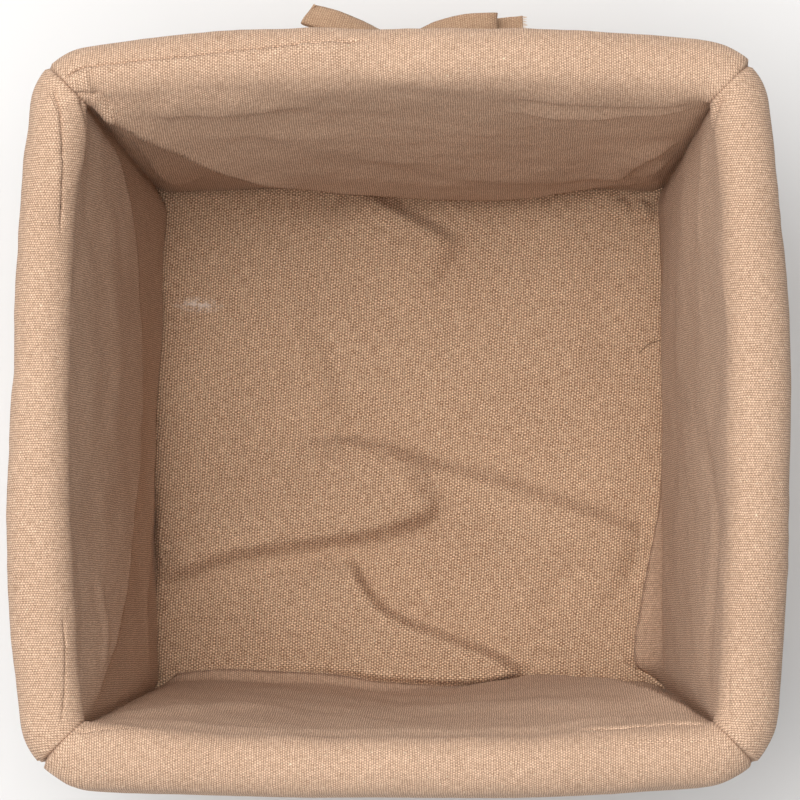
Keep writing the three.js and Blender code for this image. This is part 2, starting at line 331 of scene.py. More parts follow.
def woven_cloth(name, thread, shade, pitch=(0.98 * MM, 0.53 * MM), bump=0.5, turn=0.0, gap_shade=0.6, contrast=0.3,
                rubbed=None):
    """Plain-weave cloth. The UV map is the flat cloth in metres; pitch is thread to thread across and along;
    gap_shade is how dark the painted shade in the holes between the threads is; contrast is how much paler
    the threads that run one way look; rubbed is the (x, y, length, width) of a whitish worn mark. The colour
    also carries painted shade on the threads' own relief: paler on their crowns, darker where they dip."""
    material = bpy.data.materials.new(name)
    n = Nodes(material)
    mapping = n.node("ShaderNodeMapping")
    n.link(n.node("ShaderNodeUVMap", uv_map="cloth").outputs[0], mapping.inputs["Vector"])
    mapping.inputs["Rotation"].default_value[2] = turn
    cloth = mapping.outputs[0]
    flat = n.node("ShaderNodeSeparateXYZ")
    n.link(cloth, flat.inputs[0])
    x, y = flat.outputs[0], flat.outputs[1]
    # Threads wander a little, so the grid isn't ruled
    drift = n.noise(cloth, 160, 1.0)
    u = n.plus(n.math("DIVIDE", x, pitch[0]), n.remap(drift, 0, 1, -0.5, 0.5))
    v = n.plus(n.math("DIVIDE", y, pitch[1]), n.remap(drift, 0, 1, -0.7, 0.7))
    sine_u = n.math("SINE", n.times(u, math.pi))
    sine_v = n.math("SINE", n.times(v, math.pi))
    across = n.math("ABSOLUTE", sine_u)
    along = n.math("ABSOLUTE", sine_v)
    # One thread system is on top where both sines share a sign, the other elsewhere
    on_top = n.remap(n.times(sine_u, sine_v), -0.15, 0.15)
    warp = n.times(across, n.remap(along, 0, 1, 0.45, 1))
    weft = n.times(along, n.remap(across, 0, 1, 0.45, 1))
    height = n.choose(on_top, warp, weft)
    # Slubs: each thread is thicker and paler in places along its length
    warp_slub = n.noise(n.combine(u, n.times(v, 0.16)), 1.0, 1.0)
    weft_slub = n.noise(n.combine(n.times(u, 0.22), v, 7.0), 1.0, 1.0)
    slub = n.remap(n.choose(on_top, warp_slub, weft_slub), 0.32, 0.68)
    fleck = n.remap(n.noise(cloth, 900, 1.0), 0.68, 0.8)
    cloud = n.noise(cloth, 14, 3.0, 0.6)
    # Painted shade: the colour follows the threads' relief, darker where they dip and paler on their crowns;
    # the slubs, the one-way paler threads and the clouds are the cloth's own tone.
    tone_and_shade = n.plus(n.times(height, 0.5), n.times(slub, 0.4))
    tone_and_shade = n.plus(tone_and_shade, n.times(on_top, contrast))
    tone_and_shade = n.plus(tone_and_shade, n.times(cloud, 0.25))
    colour = n.mix(n.remap(tone_and_shade, 0.35, 1.0 + contrast), shade + (1,), thread + (1,))
    # Painted shade in the holes between the threads: they are darkened towards a colour three tenths as
    # bright as the darker thread colour.
    gap = n.remap(n.math("MAXIMUM", across, along), 0.85, 0.45)
    gap = n.times(gap, n.remap(n.noise(cloth, 700, 1.0), 0.3, 0.6, 0.3, 1.0))
    hole = tuple(c * 0.3 for c in shade)
    colour = n.mix(n.times(gap, gap_shade), colour, hole + (1,))
    pale = tuple(min(1.0, c * 1.5 + 0.06) for c in thread)
    colour = n.mix(n.times(fleck, 0.35), colour, pale + (1,))
    if rubbed:
        colour = n.mix(worn_share(n, cloth, x, y, *rubbed), colour, (0.95, 0.86, 0.8, 1))
    looks = {"Base Color": colour, "Roughness": 0.93, "Specular IOR Level": 0.15, "Sheen Weight": 0.06,
             "Sheen Roughness": 0.5}
    n.finish(n.plus(height, n.times(slub, 0.6)), bump, 0.25 * MM, looks)
    return material


def worn_share(n, cloth, x, y, middle_x, middle_y, length, width):
    """How worn the cloth is: an uneven oval mark."""
    across = n.math("DIVIDE", n.math("SUBTRACT", x, middle_x), length / 2)
    along = n.math("DIVIDE", n.math("SUBTRACT", y, middle_y), width / 2)
    away = n.math("SQRT", n.plus(n.times(across, across), n.times(along, along)))
    patchy = n.remap(n.noise(cloth, 350, 2.0), 0.4, 0.6)
    return n.times(n.remap(away, 1.0, 0.2, 0.0, 0.5), patchy)


def plain_material(name, colour, roughness, metallic=0.0, grain=400, depth=0.1):
    """A material with fine grain, for boards, foam and wire."""
    material = bpy.data.materials.new(name)
    n = Nodes(material)
    speckle = n.noise(n.node("ShaderNodeTexCoord").outputs["Object"], grain, 4.0, 0.7)
    dark = tuple(c * 0.8 for c in colour)
    grainy = n.mix(n.remap(speckle, 0.3, 0.7), dark + (1,), colour + (1,))
    looks = {"Base Color": grainy, "Roughness": roughness, "Metallic": metallic}
    n.finish(speckle, depth, 0.5 * MM, looks)
    return material


LINER_MATERIAL = woven_cloth("liner_cloth", (0.86, 0.61, 0.445), (0.3, 0.18, 0.113), gap_shade=0.95, contrast=0.35)
# The floor's cloth has a coarser weave than the liner's, and its threads are paler than the liner's as
# painted light that brightens the floor deep in the bin.
FLOOR_MATERIAL_WITH_PAINTED_LIGHT = woven_cloth(
    "liner_floor_cloth", (1.0, 0.725, 0.5), (0.24, 0.115, 0.06), pitch=(1.16 * MM, 0.74 * MM), bump=1.0,
    turn=math.radians(4), gap_shade=1.0, contrast=0.45, rubbed=(0.103, -0.055, 0.026, 0.008),
)
SHELL_MATERIAL = woven_cloth("shell_canvas", (0.56, 0.38, 0.25), (0.3, 0.18, 0.11))
BINDING_MATERIAL = woven_cloth(
    "binding_tape", (0.46, 0.3, 0.19), (0.24, 0.14, 0.08), pitch=(0.6 * MM, 0.5 * MM)
)
RIBBON_MATERIAL = woven_cloth("ribbon_cloth", (0.58, 0.4, 0.27), (0.3, 0.18, 0.11))
BOARD_MATERIAL = plain_material("greyboard", (0.36, 0.3, 0.24), 0.85)
FOAM_MATERIAL = plain_material("foam", (0.8, 0.76, 0.64), 0.95, grain=900, depth=0.6)
THREAD_MATERIAL = plain_material("sewing_thread", (0.66, 0.5, 0.36), 0.7, grain=2500, depth=0.4)
DARK_THREAD = plain_material("loose_thread", (0.2, 0.11, 0.06), 0.8, grain=2500, depth=0.2)
WIRE_MATERIAL = plain_material("drawn_wire", (0.52, 0.53, 0.54), 0.35, metallic=1.0)

# ---- The liner ----
# A drape is the loose cloth of a wall: it leaves the rim at height `top`, stands furthest into the bin along
# its edge, and falls back to the wall below. Rows of `edge` are (along the side, height, how far it stands
# in), and of `top` (along the side, height), in mm. A small lip tucks back sharply under the edge.
DRAPES = {
    "front": [
        dict(edge=[(-128, 238, 4), (-118, 230, 9), (-101, 196, 14), (-86, 156, 16.5), (-70, 128, 17.5),
                   (-54, 104, 17), (-30, 76, 15.5), (19, 52, 14), (55, 50, 13), (69, 53, 11), (90, 56, 7),
                   (105, 54, 5), (119, 49, 3)],
             top=[(-130, 244), (130, 244)], lip=3.6, sag=0.72),
        dict(edge=[(-124, 190, 1), (-118, 155, 2.5), (-114, 108, 4), (-112, 72, 5), (-107, 55, 5),
                   (-99, 57, 4), (-87, 62, 2), (-60, 60, 0.5), (-30, 60, 0), (120, 60, 0)],
             top=[(-130, 225), (130, 225)], lip=3.5),
    ],
    "right": [
        dict(edge=[(-130, 228, 1), (-104, 182, 5), (-78, 144, 7), (-24, 110, 8.5), (12, 104, 9.5),
                   (57, 108, 9), (90, 130, 7), (107, 150, 5.5), (122, 185, 3.5), (131, 210, 2)],
             top=[(-131, 238), (-113, 236), (-79, 225), (-30, 236), (5, 238), (47, 238), (91, 216),
                  (120, 226), (131, 231)], lip=3.5, sag=0.85),
        dict(edge=[(-124, 60, 0), (-114, 50, 1.5), (-96, 56, 3), (-68, 46, 3), (-35, 32, 3), (17, 16, 2.5),
                   (46, 10, 2.5), (82, 9, 2.5), (101, 9, 3.5), (115, 26, 4), (124, 68, 4)],
             top=[(-131, 110), (131, 110)], lip=3, sag=1.6),
    ],
    "back": [
        dict(edge=[(-130, 238, 1), (-117, 201, 7), (-108, 161, 10), (-96, 107, 11), (-81, 75, 11),
                   (-66, 44, 10), (-57, 28, 9), (-47, 16, 7), (-36, 12, 5), (-20, 8, 2), (4, 7, 1),
                   (28, 7, 3), (60, 7, 4), (90, 7, 4), (115, 7, 3), (128, 7, 1)],
             top=[(-130, 243), (130, 243)], lip=6, sag=0.8),
    ],
    "left": [
        dict(edge=[(-126, 60, 0), (-100, 60, 4), (-40, 55, 6.5), (40, 55, 6.5), (100, 60, 4), (126, 60, 0)],
             top=[(-130, 246), (130, 246)], lip=40, sag=0.6),
    ],
}

# Where each wall meets the floor: the cloth rounds the corner between them. Rows are (along the side, height
# of the seam above the floor, how far in it lies, height at which the wall is straight again), in mm.
STRAIGHT_FOOT = [(-130, 0, 0, 20), (130, 0, 0, 20)]
FEET = {
    "front": STRAIGHT_FOOT,
    "left": [(-122, 2, 1, 22), (-87, 5, 1.5, 26), (-50, 6, 2, 28), (20, 6, 3, 28), (45, 7, 6, 34),
        (57, 7, 8.5, 38), (80, 7, 12, 46), (94, 7, 14, 50), (107, 6, 13, 48), (122, 3, 5, 30)],
    "back": [(-128, 1, 1, 20), (-100, 3, 3, 22), (-75, 5, 5, 26), (-52, 6, 6, 28), (-39, 6, 4, 28),
        (-25, 7, 3, 28), (4, 7, 4, 30), (28, 6, 7, 34), (60, 6, 9, 38), (90, 5, 9, 36), (115, 3, 5, 26),
        (128, 1, 1, 20)],
    "right": STRAIGHT_FOOT,
}

# Creases in the hanging cloth: a ridge with one crisp side. Rows are (points, height, how fast it falls off
# above, and below), in mm. A point is (along the side, height).
WALL_CREASES = {
    "front": [
        ([(42, 232), (67, 231), (92, 230), (111, 234), (124, 237)], 2.2, 11, 3),
        ([(40, 214), (67, 209), (87, 210), (112, 220), (128, 231)], 3.2, 12, 2.6),
        ([(88, 72), (96, 88), (102, 111), (111, 135), (122, 151)], 3.4, 12, 2.6),
        ([(104, 70), (112, 92), (119, 112)], 2.2, 7, 2.2),
        ([(-70, 205), (-45, 180), (-2, 131), (29, 103), (69, 86), (92, 100)], 1.8, 22, 9),
        ([(-108, 234), (-90, 229), (-70, 225), (-29, 222)], 2.0, 9, 3.4),
        ([(-60, 150), (-10, 100), (40, 76)], 1.2, 14, 14),
    ],
    "right": [
        ([(100, 190), (60, 165), (10, 160), (-40, 175)], 1.0, 14, 14),
        ([(-60, 200), (-90, 190), (-112, 205)], 1.2, 8, 4),
    ],
    "back": [
        ([(-120, 228), (-90, 222), (-50, 224), (0, 221), (60, 226), (110, 222)], 2.0, 8, 6),
        ([(-100, 190), (-60, 150), (-20, 120), (30, 110)], 2.4, 16, 12),
        ([(120, 210), (90, 160), (50, 120)], 2.2, 12, 9),
        ([(80, 222), (100, 216), (118, 222)], 1.1, 12, 9),
    ],
    "left": [
        ([(-9, 120), (10, 170), (35, 205), (62, 214), (100, 205), (121, 190)], -1.6, 12, 7),
        ([(-100, 150), (-60, 125), (-10, 110)], 1.5, 20, 24),
        ([(-118, 215), (-100, 190), (-70, 178)], 1.2, 8, 6),
    ],
}

# Creases on the rim: grooves beside which one side of the cloth laps over the other. Rows are (points, depth,
# how far the lapping side rises, width of the groove), in mm. A point is (along the side, across the roll
# from its top, positive into the bin).
RIM_CREASES = {
    "front": [
        ([(-141, -1), (-126, -1.6), (-92, -2.5), (-60, -4), (-32, -5.7), (-8, -6.8)], 2.2, 1.9, 0.8),
        ([(-127, -2.5), (-126, 4), (-124, 10), (-119, 17), (-114, 24)], 2.4, 1.4, 1.2),
        ([(-138, 3), (-131, 7), (-124, 10)], 1.2, -0.8, 1.1),
    ],
    "right": [
        ([(138, -3), (130, 0), (126, 1.8), (119, 3.2), (108, 4.6), (90, 6), (72, 7.4)], 2.1, 1.6, 0.7),
        ([(136, 5), (130, 10), (123, 15), (112, 20), (96, 23)], 1.6, 1.4, 1.1),
        ([(-132, 3), (-118, 6), (-100, 8), (-84, 8)], 0.8, -0.6, 0.7),
    ],
    "back": [
        ([(-134, 3), (-112, 5), (-84, 5)], 0.8, 0.6, 0.7),
        ([(138, 4), (124, 9), (110, 13), (96, 15)], 1.3, 0.9, 0.7),
        ([(-128, 14), (-112, 17), (-90, 16), (-70, 18)], 0.6, 0.9, 0.7),
    ],
    "left": [
        ([(-139, 1), (-133, 5), (-127, 11), (-121, 17), (-117, 24)], 1.9, 1.0, 1.0),
        ([(134, 2), (124, 6), (108, 8)], 0.8, 0.6, 0.7),
    ],
}
LAP_REACH = 9

# Folds of the floor: rows are (points, height, how fast it falls off to the left, and to the right, share of
# the length over which each end fades). All but the last in mm. A point is (x, y).
FLOOR_FOLDS = [
    ([(124, 68), (93, 54), (61, 47), (28, 43), (3, 37), (-17, 27)], 10.5, 26, 5, 0.14),
    ([(33, -2), (30, 5), (12, 10), (-13, 18), (-37, 24), (-70, 35), (-99, 45),
      (-114, 54)], 10, 6, 26, 0.16),
    ([(58, -76), (41, -52), (33, -35), (29, -16), (33, 0)], 6.5, 24, 8, 0.3),
    ([(36, -119), (12, -105), (-8, -94), (-25, -84)], 9, 5, 22, 0.22),
    ([(31, 50), (28, 62), (22, 73), (15, 81), (1, 89), (-19, 96), (-36, 103), (-48, 109),
      (-58, 114)], 12, 3.2, 36, 0.18),
    ([(-54, -108), (-57, -75), (-56, -36)], -2.4, 8, 10, 0.4),
    ([(-88, -104), (-90, -50), (-88, 4)], -2.4, 8, 10, 0.4),
    ([(-73, 55), (-61, 88)], -2.6, 6, 6, 0.4),
    ([(80, -95), (70, -60), (76, -20)], 1.8, 14, 14, 0.4),
    ([(0, -60), (-14, -30), (-4, -6)], 1.6, 16, 16, 0.4),
    ([(80, 84), (60, 94), (36, 98)], 2.6, 14, 10, 0.4),
    ([(-92, -100), (-98, -105), (-101, -111)], 5, 5, 2, 0.3),
    ([(-112, -99), (-108, -105), (-108, -111)], 5, 2, 4, 0.3),
    ([(-99, -99), (-104, -103), (-110, -103)], 3.5, 1.8, 2.4, 0.3),
]

# How far the loose cloth stands off the outside of the rim: rows of (along the side, stand-off), in mm.
LOOSENESS = {
    "front": [(-140, 0.2), (-106, 1.8), (-85, 2.4), (-50, 2.6), (0, 1.4), (62, 2.6), (92, 2.6), (116, 2.3),
        (140, 1.6)],
    "left": [(-140, 0), (-119, 0.2), (-86, 0.6), (-45, 2.2), (0, 2), (37, 1.7), (78, 2), (119, 2.2),
        (140, 1.4)],
    "back": [(-140, 1), (-124, 2), (-99, 1.6), (-66, 1.6), (0, 0.4), (48, 1.2), (81, 1.8), (106, 3),
        (130, 4), (140, 3)],
    "right": [(-140, 2.4), (-119, 2.6), (-78, 4), (-37, 2.8), (4, 0.6), (45, 0), (86, 0), (140, 0)],
}

ROLL_QUARTER = LINER_RADIUS * math.pi / 2


def along_curve(rows, column, s):
    """A column of listed rows as a smooth function of s."""
    rows = sorted(rows)
    dense = spline(rows, 40 * len(rows))
    return np.interp(s, dense[:, 0] * MM, dense[:, column] * MM)


def drape(s, z, edge, top, lip, sag=0.95):
    """How far one drape stands into the bin."""
    edge_height = along_curve(edge, 1, s)
    reach = along_curve(edge, 2, s)
    start = np.maximum(along_curve(top, 1, s), edge_height + 8 * MM)
    above = np.clip((start - z) / (start - edge_height), 0, 1) ** sag
    below = np.exp(-((np.maximum(edge_height - z, 0) / (lip * MM)) ** 2))
    return reach * np.where(z > edge_height, above, below)


def wall_bulge(name, s, z):
    """How far a wall's cloth stands into the bin."""
    loose = np.zeros(s.shape)
    for one in DRAPES[name]:
        loose = np.maximum(loose, drape(s, z, **one))
    for one in WALL_CREASES[name]:
        loose = loose + crease(s, z, *one)
    seed = SIDES.index(name) + 1
    loose = loose + wave_noise(s, z * 0.6, 0.07, seed) * 0.8 * MM
    straight = along_curve(FEET[name], 3, s)
    rounding = np.clip((straight - z) / (straight - LINER_FOOT_HEIGHT), 0, 1) ** 3
    return np.maximum(loose, along_curve(FEET[name], 2, s) * rounding)


def rim_relief(name, s, across):
    """Height of the cloth on the rim and cuff over its plain section."""
    relief = np.zeros(s.shape)
    for points, depth, lap, width in RIM_CREASES[name]:
        relief -= crease(s, across, points, depth, width, width, 0.12)
        relief += crease(s, across, points, lap, LAP_REACH, width / 2, 0.2)
    return relief


def liner_section():
    """The section of a liner panel, from the turned-up hem over the rim and down the wall, as rows of
    (offset, height); the distance along it; and the same distance counted from the roll's top."""
    inner_ply = [(CUFF_OFFSET - 2 * HEM_RADIUS, z) for z in np.linspace(HEM_TOP, HEM_HEIGHT, 9)]
    fold = [
        (CUFF_OFFSET - HEM_RADIUS - HEM_RADIUS * math.cos(a), HEM_HEIGHT - HEM_RADIUS * math.sin(a))
        for a in np.linspace(0, math.pi, 6)[1:-1]
    ]
    cuff = [(CUFF_OFFSET, z) for z in np.linspace(HEM_HEIGHT, CUFF_FLARE_HEIGHT, CUFF_ROWS)]
    flare = [
        (CUFF_OFFSET + (LINER_RADIUS - CUFF_OFFSET) * smooth(t),
         CUFF_FLARE_HEIGHT + (ROLL_HEIGHT - CUFF_FLARE_HEIGHT) * t)
        for t in np.linspace(0, 1, 20)[1:-1]
    ]
    roll = [
        (LINER_RADIUS * math.cos(a), ROLL_HEIGHT + LINER_RADIUS * math.sin(a))
        for a in np.linspace(0, math.pi, 73)
    ]
    foot = np.array([LINER_FOOT_OFFSET, LINER_FOOT_HEIGHT])
    t = np.linspace(0, 1, WALL_ROWS + 1)[1:, None]
    wall = roll[-1] + (foot - roll[-1]) * t
    section = np.vstack([inner_ply, fold, cuff, flare, roll, wall])
    length = run_along(section)
    top_row = len(inner_ply) + len(fold) + len(cuff) + len(flare) + len(roll) // 2
    return section, length, length - length[top_row]


def surface_normals(points):
    """Unit normals of a grid of points."""
    normal = np.cross(np.gradient(points, axis=0), np.gradient(points, axis=1))
    return normal / np.maximum(np.linalg.norm(normal, axis=-1, keepdims=True), 1e-12)


def liner_points(name):
    """Grid of points of one liner panel, and its flat cloth coordinates."""
    side = SIDES.index(name)
    at = np.linspace(-1, 1, COLUMNS + 1)[None, :]
    section, length, across = liner_section()
    offset, height, across = section[:, 0:1], section[:, 1:2], across[:, None]
    outside = offset > LINER_RADIUS * 0.9
    share = np.where(outside, 1.0, np.clip(height / ROLL_HEIGHT, 0, 1))
    s, out = side_point(at, offset, share)
    across = np.broadcast_to(across, s.shape)
    height = np.broadcast_to(height, s.shape).copy()
    to_corner = np.maximum(out - np.abs(s), 0)

    # The wall: loose cloth that stands into the bin, fading out at the corners
    on_wall = across > ROLL_QUARTER
    loose_from = 0.5 * ROLL_QUARTER
    bulge = np.where(across > loose_from, wall_bulge(name, s, height), 0)
    bulge = bulge * smooth(to_corner / (11 * MM)) * smooth((across - loose_from) / (12 * MM))
    out = out - bulge
    lift = along_curve(FEET[name], 1, s) * smooth(to_corner / (16 * MM))
    height = np.where(on_wall, height + lift * (ROLL_HEIGHT - height) / ROLL_HEIGHT, height)
    height = height - 0.25 * np.maximum(bulge, 0) * smooth((height - 20 * MM) / (40 * MM))

    # The wall's corner seam is drawn into the corner
    seam = np.where(on_wall, 3.2 * MM, 0) * np.exp(-((to_corner / (2.6 * MM)) ** 2))
    out = out + seam
    s = s + np.sign(s) * seam
    points = place(side, s, out, height)

    # Relief on the rim and cuff: laps, soft unevenness, gathers over the drawstring
    relief = rim_relief(name, s, across)
    seed = 20 + side
    on_rim = smooth((across + 3 * ROLL_QUARTER) / ROLL_QUARTER)
    soft = wave_noise(s, across, 0.05, seed) * 0.55 * MM
    soft = soft + wave_noise(s, across * 0.5, 0.018, seed + 5) * 0.14 * MM
    relief = relief + soft * on_rim
    hem = smooth(1 - (height - HEM_HEIGHT) / (34 * MM)) * (across < -ROLL_QUARTER)
    gather = wave_noise(s, height * 0.12, 0.016, seed + 9, octaves=2) * 1.3 * MM
    relief = relief + gather * hem
    outside = smooth(-across / ROLL_QUARTER)
    relief = relief + along_curve(LOOSENESS[name], 1, s) * outside * (1 - 0.75 * hem)
    relief = relief * smooth(to_corner / (1.2 * MM))
    groove = MITRE_GROOVE * np.exp(-((to_corner / MITRE_GROOVE) ** 2))
    relief = relief - groove * on_rim * (across < ROLL_QUARTER)
    points = points + surface_normals(points) * relief[..., None]
    return points, (s, length[:, None])


def cut_buttonholes(faces, points):
    """Leaves out the cuff's faces where the ribbon comes through."""
    middle = points.reshape(-1, 3)[faces].mean(axis=1)
    inner, outer, height = BUTTONHOLE
    x = np.abs(middle[:, 0])
    hole = (x > inner) & (x < outer) & (np.abs(middle[:, 2] - RIBBON_MIDDLE) < height / 2)
    row = np.arange(len(faces)) // COLUMNS
    return faces[~(hole & (row >= CUFF_FIRST_ROW) & (row < CUFF_FIRST_ROW + CUFF_ROWS))]


def make_liner():
    section, length, _ = liner_section()
    cuff = section[CUFF_FIRST_ROW : CUFF_FIRST_ROW + CUFF_ROWS, 1]
    casing_row = CUFF_FIRST_ROW + int(np.argmin(np.abs(cuff - (HEM_TOP - 2 * MM))))
    edges, casing = [], []
    for name in SIDES:
        points, uv = liner_points(name)
        edges.append(points[-1])
        casing.append(points[casing_row])
        faces = grid_faces(*points.shape[:2])
        if name == "front":
            faces = cut_buttonholes(faces, points)
        piece = grid_piece(f"liner_{name}_cloth", points, uv, LINER_MATERIAL, "liner", f"liner_panel_{name}",
                           LINER_CLOTH, faces=faces)
    make_floor(edges)
    stitches("liner_hem_stitching", np.vstack(casing), LINER_CLOTH / 2, "liner")
    make_buttonhole_stitching()


def make_buttonhole_stitching():
    """Close stitches round the two slits where the ribbon comes out."""
    inner, outer, height = BUTTONHOLE
    rows = np.linspace(-0.5, 0.5, 16) * (height + 1.5 * MM)
    columns = np.linspace(inner - 0.8 * MM, outer + 0.8 * MM, 14)
    loops = []
    for hand in (-1, 1):
        for z in rows:
            loops += [(hand * (inner - 1 * MM), z), (hand * (outer + 1 * MM), z)]
        for x in columns:
            loops += [(hand * x, rows[0]), (hand * x, rows[-1])]
    out = side_point(np.zeros(1), CUFF_OFFSET, 1.0)[1][0]
    front = -out * DEPTH_SHARE - LINER_CLOTH * 0.7
    centres = np.array([(x, front, RIBBON_MIDDLE + z) for x, z in loops])
    upright = np.abs(np.abs(centres[:, 2] - RIBBON_MIDDLE) - rows[-1]) < 0.1 * MM
    direction = np.where(upright[:, None], [0, 0, 1.0], [1.0, 0, 0])
    dashes("liner_buttonhole_stitching", centres, direction, 1.9 * MM, 0.3 * MM, "liner")


def patch(front, left, back, right):
    """A grid of points between four edges, and its shares u along the front edge and v towards the back."""
    t = np.linspace(0, 1, len(front))
    u, v = t[None, :, None], t[:, None, None]
    top, bottom = front[None, :, :], back[::-1][None, :, :]
    start, end = right[::-1][:, None, :], left[:, None, :]
    corners = ((1 - u) * (1 - v) * front[0] + u * (1 - v) * front[-1]
               + (1 - u) * v * back[-1] + u * v * back[0])
    points = (1 - v) * top + v * bottom + (1 - u) * start + u * end - corners
    return points, u[..., 0], v[..., 0]


def off_edges(u, v, share):
    """0 at the edges of a patch, rising to 1 over a share of its width."""
    return smooth(np.minimum(np.minimum(u, 1 - u), np.minimum(v, 1 - v)) / share)


def make_floor(edges):
    """A sheet between the feet of the four walls, with its own folds."""
    front, left, back, right = edges
    points, u, v = patch(front, left, back, right)
    x, y = points[..., 0], points[..., 1]
    # The edge stands at the walls' seams and slopes down to the floor over the rounding
    seams = (
        (front[None, :], v), (back[::-1][None, :], 1 - v), (right[::-1][:, None], u), (left[:, None], 1 - u)
    )
    rise = sum(
        np.maximum(seam[..., 2] - LINER_FOOT_HEIGHT, 0) * np.clip(1 - share / 0.07, 0, 1) ** 2
        for seam, share in seams
    )
    folds = sum(crease(x, y, *fold) for fold in FLOOR_FOLDS)
    slack = wave_noise(x, y, 0.07, 11) * 0.6 * MM + wave_noise(x, y, 0.02, 12) * 0.12 * MM
    points[..., 2] = LINER_FOOT_HEIGHT + rise + (folds + slack + 1.6 * MM) * off_edges(u, v, 0.03)
    piece = grid_piece("liner_floor_cloth", points, (x, y), FLOOR_MATERIAL_WITH_PAINTED_LIGHT, "liner", "liner_floor",
                       LINER_CLOTH)
    make_loose_thread(points)


def make_loose_thread(floor):
    """A short end of thread lying on the floor near the right of the photo."""
    line = spline(np.array([(-106, -39), (-110, -43), (-114, -44.5), (-117, -45)]) * MM, 7)
    level = floor.reshape(-1, 3)
    nearest = [np.argmin(np.sum((level[:, :2] - at) ** 2, axis=1)) for at in line]
    line = np.column_stack([line, level[nearest, 2] + LINER_CLOTH / 2 + 0.25 * MM])
    centres, ways = (line[1:] + line[:-1]) / 2, line[1:] - line[:-1]
    dashes("liner_floor_thread", centres, ways, 3.0 * MM, 0.22 * MM, "liner", DARK_THREAD)


# ---- Stitching ----
def outward(points):
    """Unit vectors from the bin's middle line, level."""
    return unit(points * [1, 1, 0])


def dashes(name, centres, ways, length, radius, body, material=THREAD_MATERIAL):
    """Thread stitches: small spindles at centres, each lying its own way."""
    ring, rows = 6, 5
    angle = np.linspace(0, 2 * math.pi, ring, endpoint=False)
    position = np.linspace(-1, 1, rows)
    girth = np.sqrt(np.maximum(1 - np.abs(position) ** 3, 0.08))
    points = []
    for centre, along in zip(centres, unit(ways)):
        other = unit(np.cross(along, [0.3, 0.2, 0.93] if abs(along[2]) < 0.8 else [1, 0, 0]))
        third = np.cross(along, other)
        circle = np.cos(angle)[:, None] * other + np.sin(angle)[:, None] * third
        for p, g in zip(position, girth):
            points.append(centre + along * p * length / 2 + circle * radius * g)
    corner = np.arange(len(points) * ring).reshape(-1, rows, ring)
    after = np.roll(corner, -1, axis=2)
    sides = np.stack([corner[:, :-1], after[:, :-1], after[:, 1:], corner[:, 1:]], -1).reshape(-1, 4)
    faces = sides.tolist() + corner[:, 0, ::-1].tolist() + corner[:, -1].tolist()
    piece = mesh_object(name, points, faces, material)
    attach(piece, body)


def stitches(name, line, lift, body):
    """A row of stitches along a line of points, lifted off it outwards."""
    raised = line + outward(line) * lift
    distance = run_along(line)
    at = np.arange(STITCH_STEP / 2, distance[-1], STITCH_STEP)
    centres = np.stack([np.interp(at, distance, raised[:, k]) for k in range(3)], 1)
    ahead = np.stack([np.interp(at + STITCH_STEP / 2, distance, raised[:, k]) for k in range(3)], 1)
    keep = np.linalg.norm(ahead - centres, axis=1) > STITCH_STEP / 8
    dashes(name, centres[keep], (ahead - centres)[keep], STITCH_LENGTH, STITCH_RADIUS, body)


# ---- The shell ----
def cover_section():
    """The section of a cover, as rows of (offset, height), and the distance along it."""
    neck = math.asin(COVER_OFFSET / COVER_RADIUS)
    roll = [
        (COVER_RADIUS * math.cos(a), ROLL_HEIGHT + COVER_RADIUS * math.sin(a))
        for a in np.linspace(neck - math.pi / 2, 1.5 * math.pi - neck, 50)
    ]
    outside = [(COVER_OFFSET, z) for z in np.linspace(COVER_FOOT, roll[0][1], COVER_OUTSIDE_ROWS + 1)[:-1]]
    inside = [(-COVER_OFFSET, z) for z in np.linspace(roll[-1][1], COVER_FOOT, 40)[1:]]
    section = np.array(outside + roll + inside)
    return section, run_along(section)


def make_cover(name):
    """Canvas up the outside of a wall, round the roll and down the inside."""
    side = SIDES.index(name)
    at = np.linspace(-1, 1, 101)[None, :]
    section, length = cover_section()
    offset, height = section[:, 0:1], section[:, 1:2]
    s, out = side_point(at, offset, np.clip(height / ROLL_HEIGHT, 0, 1))
    points = place(side, s, out, height)
    to_corner = np.maximum(out - np.abs(s), 0)
    seed = 40 + side
    v = length[:, None]
    outside = v < length[COVER_OUTSIDE_ROWS]
    slack = wave_noise(s, v * 0.7, 0.11, seed) * 1.1 * MM + wave_noise(s, v, 0.03, seed + 5) * 0.2 * MM
    # The canvas is drawn in by the seam under the roll and puckers there
    under_roll = np.exp(-(((height - (ROLL_HEIGHT - 11 * MM)) / (9 * MM)) ** 2)) * outside
    slack = slack + wave_noise(s, v * 0.2, 0.012, seed + 9, octaves=2) * 0.5 * MM * under_roll
    slack = np.where(outside, np.maximum(slack, -0.4 * MM), slack * 0.25)
    # It lies flat under the tapes, at the corners and the foot
    slack = slack * smooth((to_corner - 20 * MM) / (30 * MM))
    slack = slack * smooth((height - COVER_FOOT - 8 * MM) / (14 * MM))
    points = points + surface_normals(points) * slack[..., None]
    piece = grid_piece(f"shell_{name}_canvas", points, (s, v), SHELL_MATERIAL, "shell",
                       f"shell_cover_{name}", CANVAS)
    return points[COVER_OUTSIDE_ROWS]


